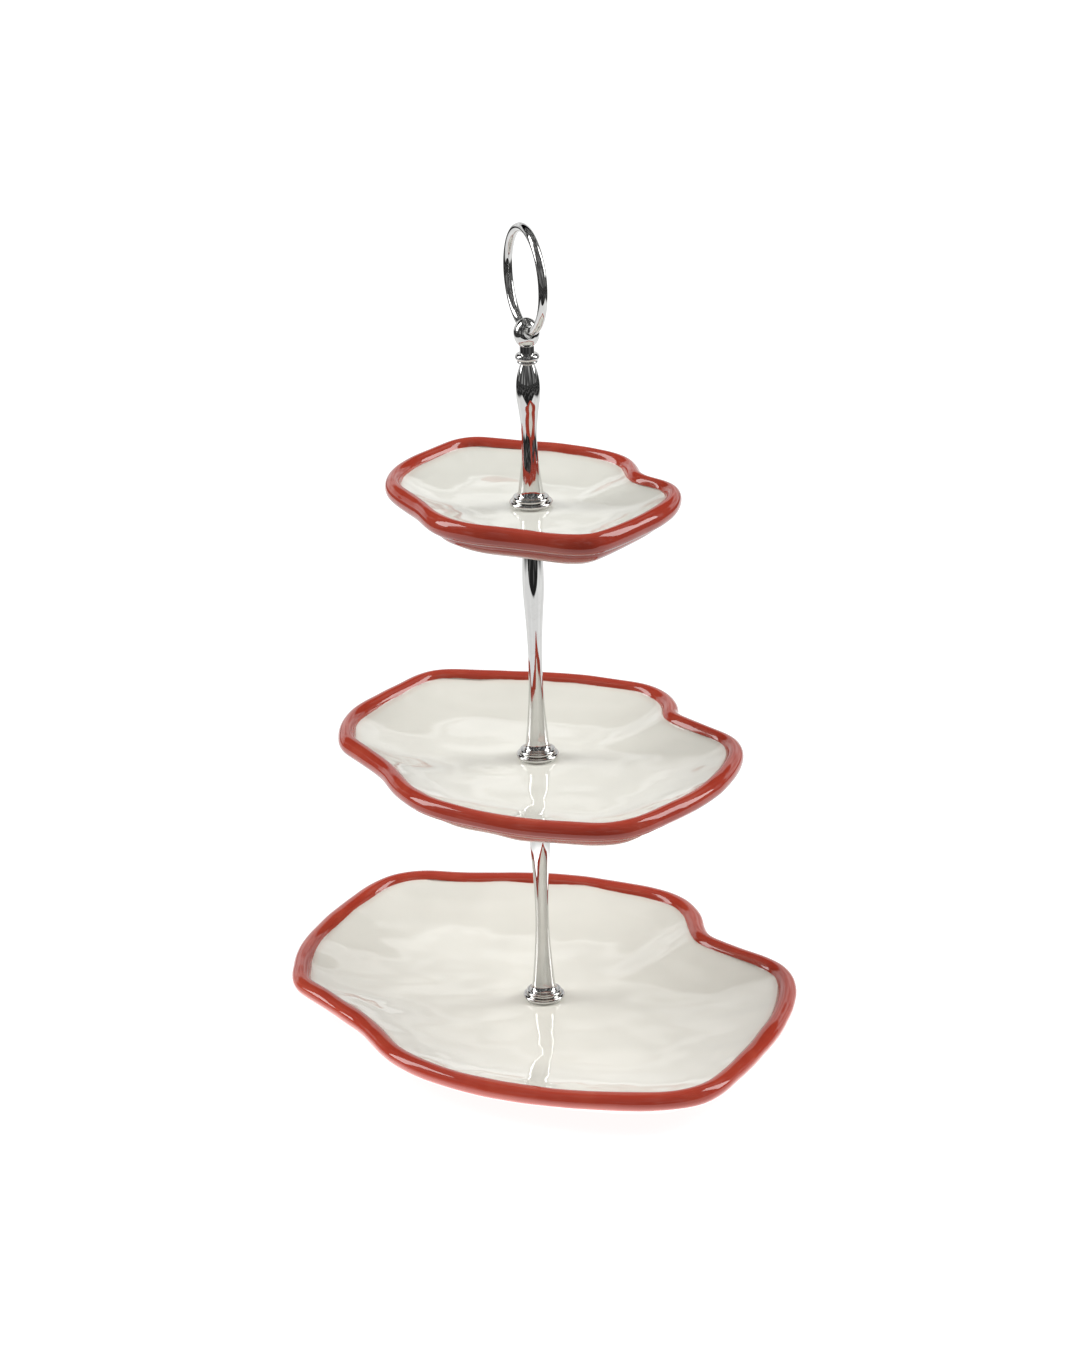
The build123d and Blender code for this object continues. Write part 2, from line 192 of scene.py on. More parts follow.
class Tree:
    """Short calls for building one node tree."""

    def __init__(self, tree: bpy.types.NodeTree) -> None:
        """Keep the tree that the nodes go into."""
        self.tree = tree

    def add(self, kind: str, **settings: object) -> bpy.types.Node:
        """Add a node.

        Args:
            kind: The node's type, without its "ShaderNode" start.
            settings: Properties of the node.

        Returns:
            The new node.
        """
        node = self.tree.nodes.new(f"ShaderNode{kind}")
        for key, value in settings.items():
            setattr(node, key, value)
        return node

    def plug(self, source: object, socket: bpy.types.NodeSocket) -> None:
        """Link a socket to a source, or set it where the source is a plain value."""
        if isinstance(source, bpy.types.NodeSocket):
            self.tree.links.new(source, socket)
        else:
            socket.default_value = source

    def feed(self, node: bpy.types.Node, **sources: object) -> bpy.types.Node:
        """Set or link a node's inputs.

        Args:
            node: The node.
            sources: Value or output socket for each input, spaces in its name as "_".

        Returns:
            The same node.
        """
        for key, source in sources.items():
            self.plug(source, node.inputs[key.replace("_", " ")])
        return node

    def math(self, operation: str, *values: object, clamp: bool = False) -> bpy.types.NodeSocket:
        """Add a Math node and return its output.

        Args:
            operation: The node's operation.
            values: Its inputs, numbers or sockets.
            clamp: Whether the result stays between 0 and 1.

        Returns:
            The result's socket.
        """
        node = self.add("Math", operation=operation, use_clamp=clamp)
        for socket, value in zip(node.inputs, values):
            self.plug(value, socket)
        return node.outputs[0]

    def ramp(self, value: bpy.types.NodeSocket, low: float, high: float) -> bpy.types.NodeSocket:
        """Return a smooth step of a value, from 0 at low to 1 at high."""
        node = self.add("MapRange", interpolation_type="SMOOTHSTEP")
        self.feed(node, Value=value, From_Min=low, From_Max=high)
        return node.outputs[0]

    def mix(self, share: object, first: object, second: object) -> bpy.types.NodeSocket:
        """Return a colour between two colours.

        Args:
            share: How much of the second, a number or a socket.
            first: A colour or a socket.
            second: A colour or a socket.

        Returns:
            The mixed colour's socket.
        """
        node = self.add("Mix", data_type="RGBA")
        for value, number in ((share, 0), (first, 6), (second, 7)):
            self.plug(value, node.inputs[number])
        return node.outputs[2]

    def cloud(self, position: bpy.types.NodeSocket, size: float, detail: float) -> bpy.types.NodeSocket:
        """Return soft noise over a position, with blots of about the given size in metres."""
        node = self.add("TexNoise")
        self.feed(node, Vector=position, Scale=1.0 / size, Detail=detail)
        return node.outputs[0]

    def stretch(
        self, position: bpy.types.NodeSocket, shares: tuple[float, float, float]
    ) -> bpy.types.NodeSocket:
        """Return a position scaled along each axis; a share below 1 draws noise out along it."""
        node = self.add("VectorMath", operation="MULTIPLY")
        self.plug(position, node.inputs[0])
        self.plug(shares, node.inputs[1])
        return node.outputs[0]


def new_material(name: str) -> tuple[bpy.types.Material, Tree, bpy.types.Node]:
    """Make a material with a bare Principled shader.

    Args:
        name: The material's name.

    Returns:
        The material, its tree and its Principled node.
    """
    material = bpy.data.materials.new(name)
    material.use_nodes = True
    tree = Tree(material.node_tree)
    shader = material.node_tree.nodes["Principled BSDF"]
    return material, tree, shader


def effect_group(
    name: str, inputs: dict[str, tuple[str, object]], outputs: dict[str, str]
) -> tuple[Tree, bpy.types.Node, bpy.types.Node]:
    """Start a shader node group with named sockets.

    Args:
        name: The group's name.
        inputs: Socket type and default value by name.
        outputs: Socket type by name.

    Returns:
        The group's tree, its input node and its output node.
    """
    group = bpy.data.node_groups.new(name, "ShaderNodeTree")
    for label, (kind, value) in inputs.items():
        socket = group.interface.new_socket(label, in_out="INPUT", socket_type=kind)
        socket.default_value = value
    for label, kind in outputs.items():
        group.interface.new_socket(label, in_out="OUTPUT", socket_type=kind)
    return Tree(group), group.nodes.new("NodeGroupInput"), group.nodes.new("NodeGroupOutput")


FLOAT = "NodeSocketFloat"


def soiling_group() -> bpy.types.NodeTree:
    """Build the group for the faint film and handling marks that every glossy surface has."""
    tree, source, result = effect_group(
        "handling_film",
        {"Size": (FLOAT, 0.03), "Base": (FLOAT, 0.05), "Spread": (FLOAT, 0.05)},
        {"Roughness": FLOAT, "Film": FLOAT},
    )
    place = tree.add("TexCoord").outputs["Object"]
    broad = tree.add("TexNoise")
    scale = tree.math("DIVIDE", 1.0, source.outputs["Size"])
    tree.feed(broad, Vector=place, Scale=scale, Detail=3.0, Roughness=0.6)
    fine = tree.add("TexNoise")
    tree.feed(fine, Vector=place, Scale=tree.math("MULTIPLY", scale, 9.0), Detail=2.0)
    film = tree.math("MULTIPLY", tree.ramp(broad.outputs[0], 0.42, 0.72), fine.outputs[0])
    rough = tree.math("MULTIPLY_ADD", film, source.outputs["Spread"], source.outputs["Base"])
    tree.feed(result, Roughness=rough, Film=film)
    return tree.tree


def ripple_group() -> bpy.types.NodeTree:
    """Build the group for a poured surface's soft ripple, as a height."""
    tree, source, result = effect_group(
        "soft_ripple",
        {"Broad Size": (FLOAT, 0.012), "Fine Size": (FLOAT, 0.003), "Fine Share": (FLOAT, 0.2)},
        {"Height": FLOAT},
    )
    place = tree.add("TexCoord").outputs["Object"]
    heights = []
    for label in ("Broad Size", "Fine Size"):
        layer = tree.add("TexNoise")
        scale = tree.math("DIVIDE", 1.0, source.outputs[label])
        tree.feed(layer, Vector=place, Scale=scale, Detail=1.0)
        heights.append(layer.outputs[0])
    height = tree.math("MULTIPLY_ADD", heights[1], source.outputs["Fine Share"], heights[0])
    tree.feed(result, Height=height)
    return tree.tree


# ---------------------------------------------------------------- finishes


@dataclass(frozen=True)
class StonewareGlaze:
    """Cream glaze in the well, terracotta glaze over the rim and bare clay on the foot."""

    cream: tuple[float, float, float, float] = (0.735, 0.73, 0.665, 1)
    cream_thin: tuple[float, float, float, float] = (0.63, 0.625, 0.565, 1)
    red: tuple[float, float, float, float] = (0.37, 0.044, 0.025, 1)
    red_thin: tuple[float, float, float, float] = (0.44, 0.075, 0.042, 1)
    # painted reflection: a washed-out pink laid on the cream next to the glaze line, standing in for
    # the red rim mirrored in the glaze
    rim_reflection_pink: tuple[float, float, float, float] = (0.72, 0.54, 0.46, 1)
    clay: tuple[float, float, float, float] = (0.55, 0.44, 0.33, 1)
    wobble: float = 0.9 * MM  # how far the line between the two glazes wanders
    wobble_size: float = 14 * MM
    edge_softness: float = 0.35 * MM
    pool_size: float = 45 * MM  # of the blots in which the cream is thin
    pool_share: float = 0.34
    rim_reflection_reach: float = 5 * MM  # how far past the line the painted reflection of the red rim tints the cream
    rim_reflection_share: float = 0.35
    streak_size: float = 16 * MM  # of the blots in which the red is thin
    streak_share: float = 0.5
    edge_reach: float = 2.2 * MM  # how far from the line the red is thin
    edge_share: float = 0.55
    base_roughness: float = 0.025
    clay_roughness: float = 0.7  # added where the clay is bare

    def build(self, film: bpy.types.NodeTree, ripple: bpy.types.NodeTree) -> bpy.types.Material:
        """Make the material.

        Args:
            film: The handling-film group.
            ripple: The soft-ripple group.

        Returns:
            The finished material, which reads the plates' "past_glaze_line" and "bare_clay".
        """
        material, tree, shader = new_material("stoneware_glaze")
        place = tree.add("TexCoord").outputs["Object"]
        line = tree.add("Attribute", attribute_name="past_glaze_line").outputs["Fac"]
        bare = tree.add("Attribute", attribute_name="bare_clay").outputs["Fac"]

        wander = tree.math("SUBTRACT", tree.cloud(place, self.wobble_size, 3.0), 0.5)
        depth = tree.math("MULTIPLY_ADD", wander, 2 * self.wobble, line)
        in_well = tree.ramp(depth, -self.edge_softness, self.edge_softness)

        pooled = tree.ramp(tree.cloud(place, self.pool_size, 2.0), 0.35, 0.68)
        cream = tree.mix(tree.math("MULTIPLY", pooled, self.pool_share), self.cream, self.cream_thin)
        # painted reflection of the red rim: the cream turns pink within reach of the glaze line
        near_rim = tree.math("SUBTRACT", 1.0, tree.ramp(depth, 0.0, self.rim_reflection_reach))
        cream = tree.mix(tree.math("MULTIPLY", near_rim, self.rim_reflection_share), cream, self.rim_reflection_pink)

        streak = tree.ramp(tree.cloud(place, self.streak_size, 2.0), 0.42, 0.75)
        at_edge = tree.ramp(depth, -self.edge_reach, 0.0)
        streaked = tree.math("MULTIPLY", streak, self.streak_share)
        edged = tree.math("MULTIPLY", at_edge, self.edge_share)
        thin = tree.math("MAXIMUM", streaked, edged)
        red = tree.mix(thin, self.red, self.red_thin)

        glazed = tree.mix(in_well, red, cream)
        colour = tree.mix(bare, glazed, self.clay)

        gloss = tree.add("Group", node_tree=film)
        tree.feed(gloss, Size=40 * MM, Base=self.base_roughness, Spread=0.05)
        rough = tree.math("MULTIPLY_ADD", bare, self.clay_roughness, gloss.outputs["Roughness"])
        relief = tree.add("Group", node_tree=ripple)
        tree.feed(relief, Broad_Size=12 * MM, Fine_Size=3.5 * MM, Fine_Share=0.07)
        bump = tree.add("Bump")
        tree.feed(bump, Height=relief.outputs["Height"], Distance=0.22 * MM, Strength=0.55)
        tree.feed(
            shader, Base_Color=colour, Roughness=rough, Normal=bump.outputs[0], IOR=1.5,
            Coat_Weight=0.35, Coat_Roughness=0.03,
        )
        return material


@dataclass(frozen=True)
class PolishedChrome:
    """Bright plated metal with a faint film and the turning lines that polishing leaves."""

    tint: tuple[float, float, float, float] = (0.69, 0.69, 0.68, 1)
    dulled: tuple[float, float, float, float] = (0.56, 0.55, 0.53, 1)
    base_roughness: float = 0.025
    turning_pitch: float = 0.35 * MM

    def build(self, film: bpy.types.NodeTree, ripple: bpy.types.NodeTree) -> bpy.types.Material:
        """Return the material, made with the handling-film and the soft-ripple groups."""
        material, tree, shader = new_material("polished_chrome")
        marks = tree.add("Group", node_tree=film)
        tree.feed(marks, Size=9 * MM, Base=self.base_roughness, Spread=0.09)
        colour = tree.mix(tree.math("MULTIPLY", marks.outputs["Film"], 0.5), self.tint, self.dulled)
        relief = tree.add("Group", node_tree=ripple)
        tree.feed(relief, Broad_Size=6 * MM, Fine_Size=self.turning_pitch, Fine_Share=0.02)
        bump = tree.add("Bump")
        tree.feed(bump, Height=relief.outputs["Height"], Distance=0.02 * MM, Strength=0.5)
        tree.feed(
            shader, Base_Color=colour, Metallic=1.0, Roughness=marks.outputs["Roughness"],
            Normal=bump.outputs[0],
        )
        return material


@dataclass(frozen=True)
class ZincPlate:
    """Satin zinc on the screw, the studs and the washers under the plates."""

    bright: tuple[float, float, float, float] = (0.62, 0.63, 0.65, 1)
    dull: tuple[float, float, float, float] = (0.42, 0.43, 0.46, 1)

    def build(self, film: bpy.types.NodeTree, ripple: bpy.types.NodeTree) -> bpy.types.Material:
        """Return the material, made with the handling-film and the soft-ripple groups."""
        material, tree, shader = new_material("zinc_plate")
        marks = tree.add("Group", node_tree=film)
        tree.feed(marks, Size=4 * MM, Base=0.30, Spread=0.30)
        spangle = tree.add("TexVoronoi")
        tree.feed(spangle, Vector=tree.add("TexCoord").outputs["Object"], Scale=1 / (0.9 * MM))
        patch = tree.ramp(spangle.outputs["Distance"], 0.1, 0.7)
        relief = tree.add("Group", node_tree=ripple)
        tree.feed(relief, Broad_Size=1.5 * MM, Fine_Size=0.3 * MM, Fine_Share=0.4)
        bump = tree.add("Bump")
        tree.feed(bump, Height=relief.outputs["Height"], Distance=0.02 * MM, Strength=0.6)
        tree.feed(
            shader, Base_Color=tree.mix(patch, self.dull, self.bright), Metallic=1.0,
            Roughness=marks.outputs["Roughness"], Normal=bump.outputs[0],
        )
        return material


@dataclass(frozen=True)
class SoftPad:
    """Milky soft plastic of the pads between metal and glaze."""

    clear: tuple[float, float, float, float] = (0.78, 0.77, 0.72, 1)
    cloudy: tuple[float, float, float, float] = (0.60, 0.58, 0.52, 1)

    def build(self, film: bpy.types.NodeTree, ripple: bpy.types.NodeTree) -> bpy.types.Material:
        """Return the material, made with the handling-film and the soft-ripple groups."""
        material, tree, shader = new_material("soft_pad")
        marks = tree.add("Group", node_tree=film)
        tree.feed(marks, Size=5 * MM, Base=0.34, Spread=0.25)
        relief = tree.add("Group", node_tree=ripple)
        tree.feed(relief, Broad_Size=2 * MM, Fine_Size=0.5 * MM, Fine_Share=0.5)
        bump = tree.add("Bump")
        tree.feed(bump, Height=relief.outputs["Height"], Distance=0.03 * MM, Strength=0.5)
        colour = tree.mix(marks.outputs["Film"], self.clear, self.cloudy)
        tree.feed(
            shader, Base_Color=colour, Roughness=marks.outputs["Roughness"], Normal=bump.outputs[0]
        )
        return material


@dataclass(frozen=True)
class StudioPaper:
    """White studio paper, lit as a table round the stand and left dark in front of it."""

    white: tuple[float, float, float, float] = (0.22, 0.22, 0.22, 1)
    worn: tuple[float, float, float, float] = (0.18, 0.18, 0.18, 1)
    glow: float = 0.90  # keeps the shadows on the paper faint
    table_edge: float = -0.45  # where the lit table ends in front, in metres along Y
    table_glow: float = 0.92
    pool_glow: float = 1.35  # added to the table's under the stand
    table_half: tuple[float, float] = (0.65, 0.85)  # where the table fades out to the sides
    pool_reach: tuple[float, float] = (0.13, 0.18)  # where the pool fades out round the rod
    room_glow: float = 0.02
    backdrop_low: float = 0.40
    backdrop_glow: float = 0.60  # added to the low one in the backdrop's brighter patches
    backdrop_foot: tuple[float, float] = (0.02, 0.16)  # heights between which the backdrop starts
    backdrop_top: tuple[float, float] = (1.50, 1.76)  # heights between which it fades out
    window_glow: float = 0.10  # added to the room's in faint patches

    def build(self) -> bpy.types.Material:
        """Make the material.

        Returns:
            The paper, white to look at, and what the stand's glaze and chrome mirror.
        """
        material, tree, shader = new_material("studio_paper")
        place = tree.add("TexCoord").outputs["Object"]
        grain = tree.cloud(place, 3 * MM, 2.0)
        colour = tree.mix(tree.math("MULTIPLY", grain, 0.1), self.white, self.worn)
        tree.feed(
            shader, Base_Color=colour, Roughness=0.8, Emission_Color=(1, 1, 1, 1),
            Emission_Strength=self.glow,
        )
        spot = tree.add("SeparateXYZ")
        tree.feed(spot, Vector=place)
        x, y, z = spot.outputs
        table = tree.ramp(y, self.table_edge - 0.02, self.table_edge + 0.01)
        far = tree.ramp(tree.math("ABSOLUTE", x), *self.table_half)
        lit = tree.math("MULTIPLY", table, tree.math("SUBTRACT", 1.0, far))
        from_rod = tree.add("VectorMath", operation="LENGTH")
        tree.plug(place, from_rod.inputs[0])
        pool = tree.math("SUBTRACT", 1.0, tree.ramp(from_rod.outputs["Value"], *self.pool_reach))
        table_light = tree.math("MULTIPLY_ADD", pool, self.pool_glow, self.table_glow)
        upright = tree.ramp(z, *self.backdrop_foot)
        wide = tree.stretch(place, (0.5, 1.0, 1.5))
        patches = tree.ramp(tree.cloud(wide, 0.5, 1.0), 0.28, 0.68)
        behind = tree.math("MULTIPLY_ADD", patches, self.backdrop_glow, self.backdrop_low)
        below_top = tree.math("SUBTRACT", 1.0, tree.ramp(z, *self.backdrop_top))
        behind = tree.math("MULTIPLY", behind, below_top)
        faint = tree.ramp(tree.cloud(place, 0.35, 1.0), 0.48, 0.62)
        windows = tree.math("MULTIPLY", faint, self.window_glow)
        room = tree.math("ADD", windows, self.room_glow)
        flat = tree.math("MULTIPLY_ADD", lit, table_light, room)
        level = tree.add("Mix")
        for source, number in ((upright, 0), (flat, 2), (behind, 3)):
            tree.plug(source, level.inputs[number])
        mirrored = tree.add("Emission")
        tree.feed(mirrored, Strength=level.outputs[0], Color=(1.0, 1.0, 1.0, 1))
        seen = tree.add("LightPath").outputs["Is Camera Ray"]
        both = tree.add("MixShader")
        for number, source in enumerate((seen, mirrored.outputs[0], shader.outputs[0])):
            tree.plug(source, both.inputs[number])
        surface = material.node_tree.nodes["Material Output"].inputs["Surface"]
        tree.plug(both.outputs[0], surface)
        return material


@dataclass
class Finishes:
    """All the materials of the stand, each built once."""

    glaze: bpy.types.Material = field(init=False)
    chrome: bpy.types.Material = field(init=False)
    zinc: bpy.types.Material = field(init=False)
    pad: bpy.types.Material = field(init=False)
    paper: bpy.types.Material = field(init=False)

    def __post_init__(self) -> None:
        """Build the shared groups, then the materials that use them."""
        film, ripple = soiling_group(), ripple_group()
        self.glaze = StonewareGlaze().build(film, ripple)
        self.chrome = PolishedChrome().build(film, ripple)
        self.zinc = ZincPlate().build(film, ripple)
        self.pad = SoftPad().build(film, ripple)
        self.paper = StudioPaper().build()


def settle(
    piece: bpy.types.Object, material: bpy.types.Material, body: str, node: str
) -> None:
    """Dress a new piece and tie it to the frame.

    Args:
        piece: The new piece.
        material: Its finish.
        body: The body that it rides on.
        node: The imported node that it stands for.
    """
    piece.data.materials.append(material)
    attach(piece, body)
    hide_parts(node)
    log.info("%s: %d faces on %s", piece.name, len(piece.data.polygons), body)


# ---------------------------------------------------------------- plates


@dataclass(frozen=True)
class HandMarks:
    """How uneven hand pressing leaves a plate: heights, sizes of the waves and their shares."""

    rim_wave: float = 0.60 * MM
    sway_size: float = 30 * MM  # of the rim's shift in and out
    sway_share: float = 0.8
    inset_share: float = 0.3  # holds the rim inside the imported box
    lift_size: float = 46 * MM  # of the rim's rise and fall
    lift_share: float = 0.6
    sink_share: float = 0.45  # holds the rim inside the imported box
    plump_size: float = 20 * MM  # of the rim's change in thickness
    plump_share: float = 0.06
    slim_share: float = 0.01  # by which the rim is thinner all round
    lean_size: float = 26 * MM  # of the rim's tilt
    lean_share: float = 0.22
    dent_size: float = 13 * MM
    dent_share: float = 0.32
    floor_wave: float = 0.50 * MM
    floor_size: float = 22 * MM
    floor_stretch: float = 1.5  # how much longer the floor's waves are along X
    floor_share: float = 0.9
    floor_dent_size: float = 11 * MM
    floor_dent_share: float = 0.30
    seat_fade: float = 14 * MM  # over which the floor goes from even at the seat to uneven


@dataclass
class StonewarePlate:
    """One hand-shaped plate: a dished floor, a rolled rim and a foot ring."""

    tier: Tier
    body: str
    bead_half: tuple[float, float]  # half the bead's width and half its height
    rim_rise: float
    floor: float
    dish_reach: float
    dish_edge: float  # degrees round the bead, from outside, at which the dish meets it
    foot_inset: float
    seed: float
    foot_ring: float = 7.0 * MM
    foot_round: float = 0.8 * MM  # at the foot's outer edge
    hole_radius: float = 3.5 * MM
    seat_radius: float = 11.5 * MM  # the floor is even under the seat washer
    wall_turn: tuple[float, float] = (0.30, 0.20)  # shares up the wall and in from the bead
    dish_power: float = 1.9  # how late the dish's curve rises from the flat middle
    dish_crowding: float = 1.25  # sets the dish's rows closer near the bead
    floor_crowding: float = 0.92  # sets the floor's rows closer near the hole
    smoothing: int = 12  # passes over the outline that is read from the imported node
    columns: int = 640
    wall_rows: int = 14
    ceiling_rows: int = 12
    foot_rows: tuple[int, int] = (3, 8)  # first row of bare clay on the foot, row after the last
    floor_rows: int = 16
    dish_rows: int = 30
    bead_rows: int = 40
    bead_start: float = -118.0  # degrees round the bead at which the underside leaves it
    groove: float = 0.5 * MM  # by which the underside is undercut behind the bead
    marks: HandMarks = HandMarks()

    def __post_init__(self) -> None:
        """Read the plate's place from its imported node."""
        self.node = f"{self.tier.value}_plate"
        self.floor_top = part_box(f"{self.tier.value}_upper_pad")[0].z
        self.foot_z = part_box(self.node)[0].z
        self.bead_z = self.floor_top + self.rim_rise - self.bead_half[1]
        self.recess = self.floor_top - self.floor - self.foot_z

    def centreline(self) -> tuple[np.ndarray, np.ndarray]:
        """Find the rim bead's centreline in plan.

        Returns:
            Points evenly spaced round the rim, and the outward normal at each.
        """
        mesh = bpy.data.objects[self.node].data
        tree = BVHTree.FromPolygons(
            [v.co for v in mesh.vertices], [tuple(p.vertices) for p in mesh.polygons]
        )
        rays, reach = 1440, 0.3
        rim = np.zeros((rays, 2))
        for k in range(rays):
            a = 2 * math.pi * k / rays
            away = Vector((math.cos(a), math.sin(a), 0))
            hit = tree.ray_cast(away * reach + Vector((0, 0, self.bead_z)), -away)[0]
            rim[k] = hit.x, hit.y
        for _ in range(self.smoothing):
            rim = (np.roll(rim, 1, axis=0) + 2 * rim + np.roll(rim, -1, axis=0)) / 4
        line = rim - self.normals(rim) * self.bead_half[0]
        closed = np.vstack([line, line[:1]])
        run = np.concatenate([[0], np.cumsum(np.linalg.norm(np.diff(closed, axis=0), axis=1))])
        even = np.linspace(0, run[-1], self.columns, endpoint=False)
        line = np.stack([np.interp(even, run, closed[:, i]) for i in range(2)], axis=1)
        return line, self.normals(line)

    @staticmethod
    def normals(line: np.ndarray) -> np.ndarray:
        """Return the outward unit normals of a closed line that runs anticlockwise."""
        run = np.roll(line, -2, axis=0) - np.roll(line, 2, axis=0)
        run /= np.linalg.norm(run, axis=1)[:, None]
        return np.stack([run[:, 1], -run[:, 0]], axis=1)

    def underside(self) -> list[tuple[float, float, float]]:
        """Return the levels from the foot ring's inner wall up to the bead's underside."""
        ceiling = self.foot_z + self.recess
        inner = self.foot_inset + self.foot_ring
        levels = [(ceiling, 0.0, inner + 1.2 * MM), (ceiling - 0.4 * MM, 0.0, inner + 0.3 * MM)]
        levels.append((self.foot_z + 0.5 * MM, 0.0, inner))
        levels.append((self.foot_z + 0.1 * MM, 0.0, inner - 0.4 * MM))
        for share in (0.15, 0.5, 0.85):
            levels.append((self.foot_z, 0.0, inner - self.foot_ring * share))
        levels.append((self.foot_z + 0.2 * MM, 0.0, self.foot_inset + 0.1 * MM))
        low_z, low_in = self.foot_z + self.foot_round, self.foot_inset - self.foot_round
        root_z, root_across, _ = self.bead_point(self.bead_start)
        root_in = self.groove - root_across
        turn_z = low_z + (root_z - low_z) * self.wall_turn[0]
        turn_in = root_in + (low_in - root_in) * self.wall_turn[1]
        for k in range(self.wall_rows):
            t = k / self.wall_rows
            first, both, last = (1 - t) ** 2, 2 * t * (1 - t), t * t
            levels.append((
                first * low_z + both * turn_z + last * root_z, 0.0,
                first * low_in + both * turn_in + last * root_in,
            ))
        return levels

    def bead_point(self, degrees: float) -> tuple[float, float, float]:
        """Return the level of a point on the bead, from 0 outside over 90 on its crest."""
        a = math.radians(degrees)
        across, up = self.bead_half
        return self.bead_z + up * math.sin(a), across * math.cos(a), 0.0

    def bead(self) -> list[tuple[float, float, float]]:
        """Return the levels round the bead, from its underside over the crest to the dish."""
        step = (self.dish_edge - self.bead_start) / self.bead_rows
        return [self.bead_point(self.bead_start + step * k) for k in range(self.bead_rows + 1)]

    def dish_levels(self) -> list[tuple[float, float, float]]:
        """Return the levels down the dish, from the bead to the flat middle of the floor."""
        edge_z, edge_across, _ = self.bead_point(self.dish_edge)
        levels = []
        for k in range(1, self.dish_rows + 1):
            t = 1 - (k / self.dish_rows) ** self.dish_crowding
            levels.append((
                self.floor_top + (edge_z - self.floor_top) * t**self.dish_power, 0.0,
                self.dish_reach - (self.dish_reach + edge_across) * t,
            ))
        return levels

    def build(self) -> bpy.types.Object:
        """Shape the plate.

        Returns:
            The plate, with how far each point lies past the glaze line and where clay is bare.
        """
        line, out = self.centreline()
        under, bead, dish = self.underside(), self.bead(), self.dish_levels()
        bearing = line / np.linalg.norm(line, axis=1)[:, None]

        def level(height: float, across: float, inward: float) -> np.ndarray:
            """Return one closed row of points."""
            row = line + out * across
            reach = np.linalg.norm(row, axis=1)[:, None]
            row = row * (1 - inward / reach)
            return np.column_stack([row, np.full(len(row), height)])

        rows = [level(*step) for step in under + bead + dish]
        hole = bearing * self.hole_radius
        edge = rows[-1][:, :2]
        for k in range(1, self.floor_rows + 1):
            t = (k / self.floor_rows) ** self.floor_crowding
            inwards = edge + (hole - edge) * t
            rows.append(np.column_stack([inwards, np.full(len(edge), self.floor_top)]))
        ceiling = rows[0][:, :2]
        for k in range(self.ceiling_rows):
            t = 1.0 if k == 0 else (1 - k / self.ceiling_rows) * 0.98
            outwards = ceiling + (hole - ceiling) * t
            rows.append(np.column_stack([outwards, np.full(len(edge), self.foot_z + self.recess)]))
        points = np.array(rows)
        first_bead, last_bead = len(under), len(under) + len(bead)
        past, clay = self.glaze_marks(points, last_bead - 1)
        self.unsettle(points, line, out, first_bead, last_bead, last_bead + len(dish) + self.floor_rows)
        flat = points.reshape(-1, 3)
        plate = mesh_piece(f"{self.node}_glazed", flat, grid_faces(len(rows), self.columns, True))
        for label, values in (("past_glaze_line", past), ("bare_clay", clay)):
            mark = plate.data.attributes.new(label, "FLOAT", "POINT")
            mark.data.foreach_set("value", values.ravel().astype(np.float32))
        return plate

    def glaze_marks(self, points: np.ndarray, edge_row: int) -> tuple[np.ndarray, np.ndarray]:
        """Work out where each glaze lies.

        Args:
            points: The plate's rows of points before they are unsettled.
            edge_row: Row at which the dish meets the bead, where the rim's glaze ends.

        Returns:
            How far each point lies past the rim glaze's edge, along the section, and 1 where
            the clay is bare.
        """
        steps = np.linalg.norm(np.diff(points, axis=0), axis=2).mean(axis=1)
        along = np.concatenate([[0], np.cumsum(steps)])
        past = np.repeat((along - along[edge_row])[:, None], self.columns, axis=1)
        past[-self.ceiling_rows:] = past[edge_row + self.dish_rows]
        clay = np.zeros(past.shape)
        clay[slice(*self.foot_rows)] = 1.0
        return past, clay

    def unsettle(
        self, points: np.ndarray, line: np.ndarray, out: np.ndarray,
        first_bead: int, last_bead: int, floor_end: int,
    ) -> None:
        """Give the plate the unevenness of a hand-pressed piece, in place.

        Args:
            points: The plate's rows of points.
            line: The bead's centreline in plan.
            out: Outward normals round the rim.
            first_bead: Row at which the bead starts.
            last_bead: Row after the bead's last.
            floor_end: Row after the floor's last.
        """
        marks = self.marks
        here = Vector((self.seed, self.seed * 0.7, 0))
        wall, ease = self.wall_rows - 1, 10
        for j in range(self.columns):
            centre = Vector((line[j, 0], line[j, 1], 0))
            across = Vector((out[j, 0], out[j, 1], 0))
            sway = noise.noise(centre / marks.sway_size + here)
            lift = noise.noise(centre / marks.lift_size + here * 2)
            plump = marks.plump_share * noise.noise(centre / marks.plump_size + here * 3)
            plump -= marks.slim_share
            lean = marks.lean_share * noise.noise(centre / marks.lean_size + here * 4)
            middle = Vector((line[j, 0], line[j, 1], self.bead_z))
            for i in range(first_bead - wall, last_bead + ease):
                if i < first_bead:
                    share = (i - first_bead + wall) / wall
                else:
                    share = 1.0 if i < last_bead else 1 - (i - last_bead + 1) / (ease + 1)
                spot = Vector(points[i, j])
                offset = spot - middle
                reach = offset.dot(across)
                dent = noise.noise(spot / marks.dent_size + here * 5)
                dent *= marks.rim_wave * marks.dent_share
                sideways = marks.rim_wave * (marks.sway_share * sway - marks.inset_share)
                shift = across * (plump * reach - lean * offset.z + sideways + dent)
                upward = marks.rim_wave * (marks.lift_share * lift - marks.sink_share)
                shift.z = plump * offset.z + lean * reach + upward + dent * 0.5
                points[i, j] = spot + shift * share
        for i in range(last_bead, floor_end):
            for j in range(self.columns):
                spot = Vector(points[i, j])
                past_seat = (math.hypot(spot.x, spot.y) - self.seat_radius) / marks.seat_fade
                free = min(max(past_seat, 0.0), 1.0)
                free *= free * (3 - 2 * free)
                drawn_out = Vector((spot.x / marks.floor_stretch, spot.y, 0))
